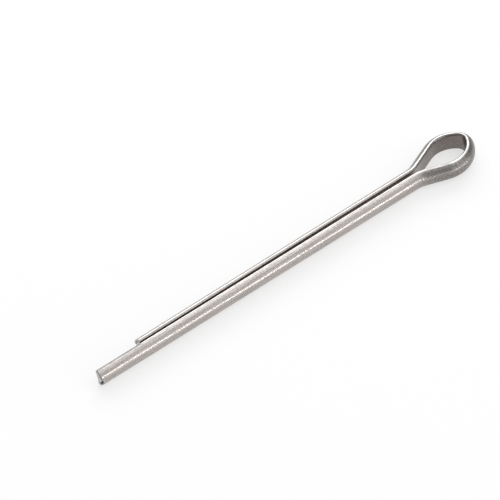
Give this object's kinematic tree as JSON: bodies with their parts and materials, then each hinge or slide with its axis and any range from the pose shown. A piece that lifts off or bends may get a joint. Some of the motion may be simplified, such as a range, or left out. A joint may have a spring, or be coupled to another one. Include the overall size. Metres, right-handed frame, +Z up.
{
  "type": "cotter pin",
  "caption": "Cotter pin of folded half-round wire, with a teardrop eye, flat-faced legs closed into a round shank, and an extended prong on the longer leg.",
  "frame": {"origin": "on the shank's axis where the legs leave the eye, which is where the pin seats at the mouth of its hole", "axes": "+X along the shank from the eye to the tips, +Y towards the long leg, +Z up, square to the plane of the eye"},
  "size_m": [0.1037, 0.0109, 0.0042],
  "materials": {
    "steel": "satin, with fine drawing lines along the wire"
  },
  "bodies": {
    "root": {"cotter_pin": "steel"}
  },
  "joints": []
}
